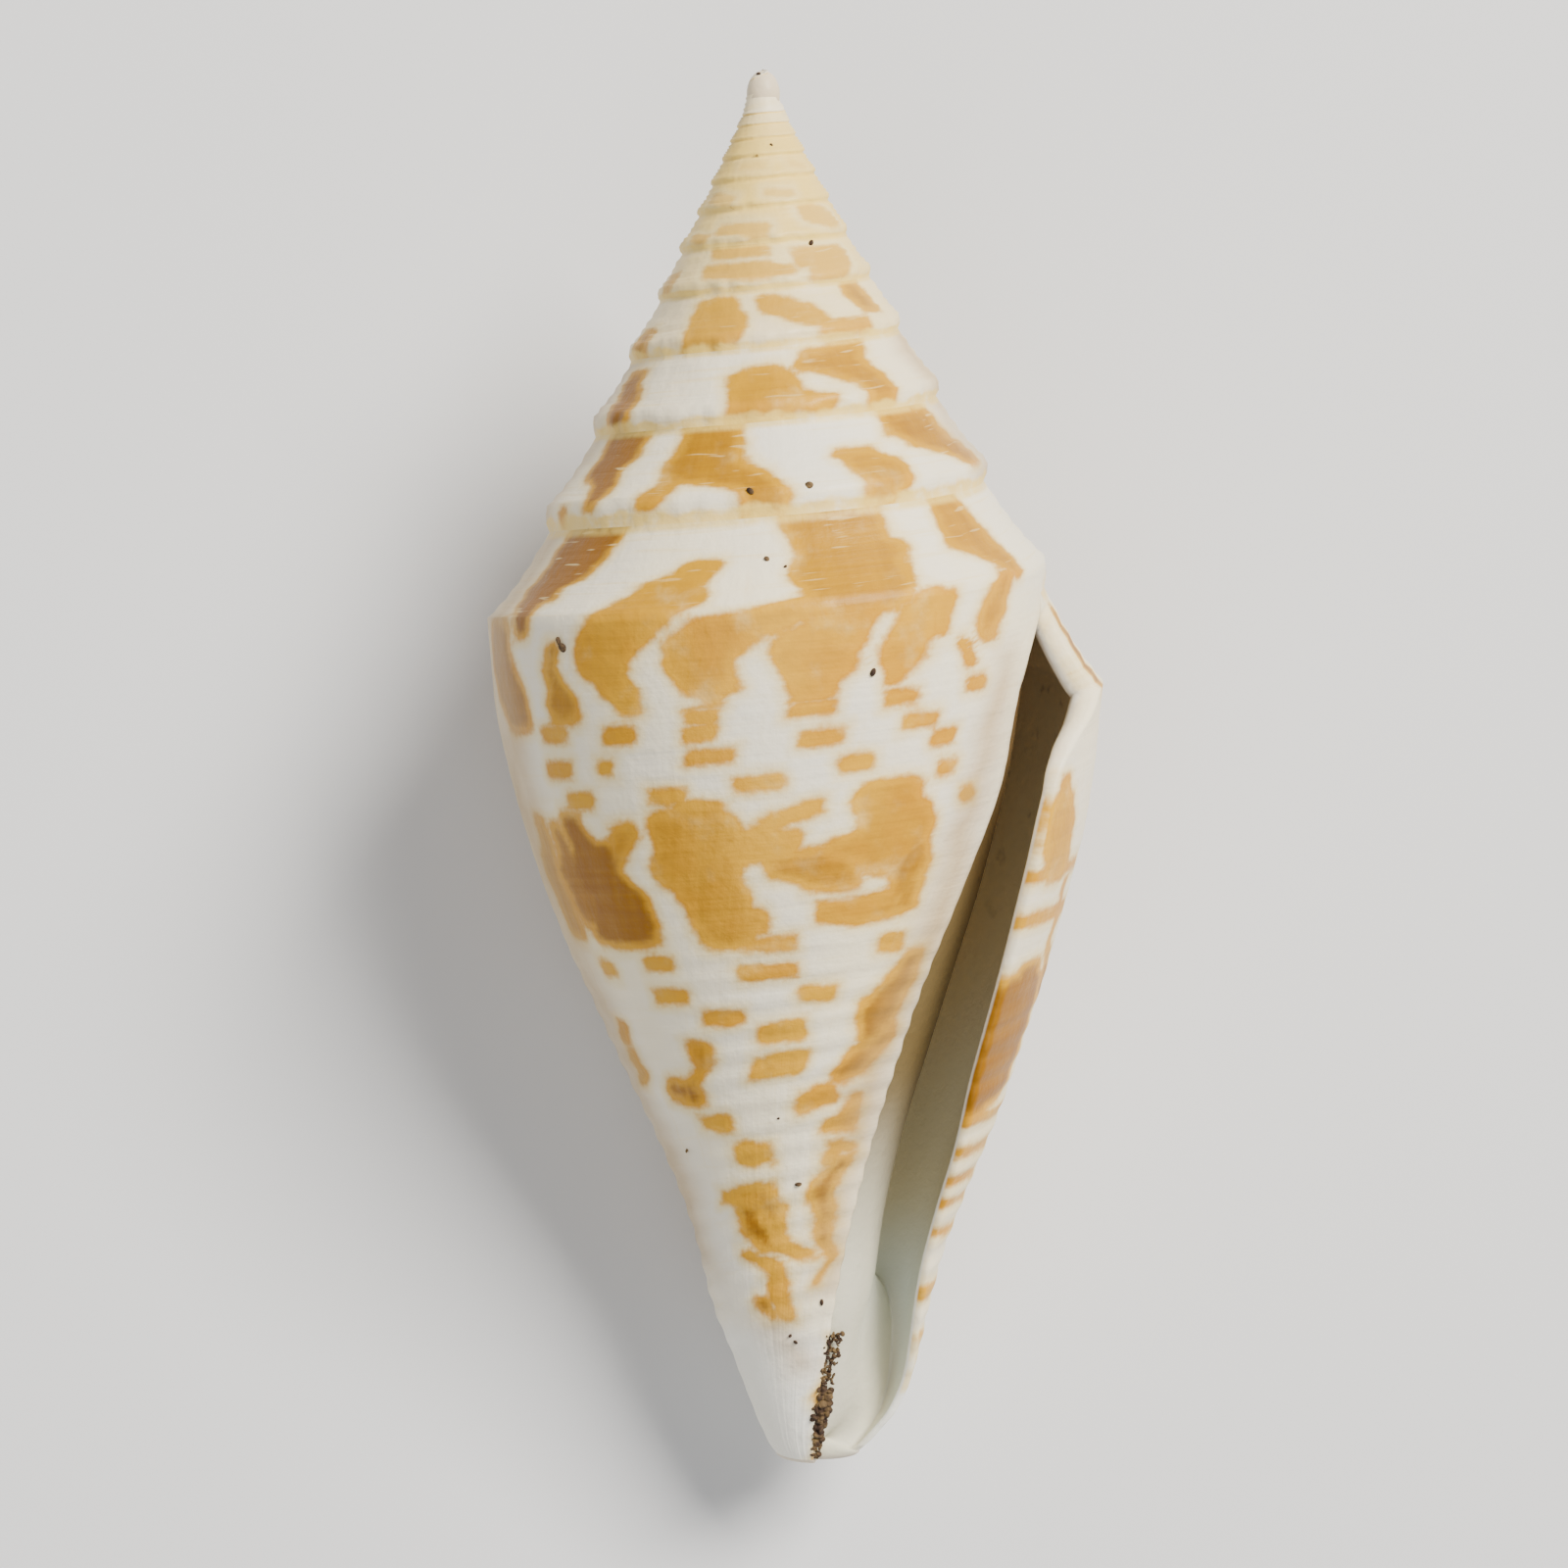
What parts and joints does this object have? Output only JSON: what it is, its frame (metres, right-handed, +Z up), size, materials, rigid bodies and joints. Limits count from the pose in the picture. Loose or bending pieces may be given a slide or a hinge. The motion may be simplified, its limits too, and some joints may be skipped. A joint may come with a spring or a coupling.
{
  "type": "cone shell",
  "caption": "A 25 mm tall-spired cone shell, cream with golden-brown flames and dashes, lying on its back with its narrow mouth up.",
  "frame": {"origin": "bottom centre of the shell's box as it lies, on the surface it lies on", "axes": "+Y towards the spire's tip, +X towards the outer lip, +Z up, the way the mouth faces"},
  "size_m": [0.0112, 0.0252, 0.0108],
  "materials": {
    "shell": "satin"
  },
  "bodies": {
    "root": {"shell": "shell"}
  },
  "joints": []
}
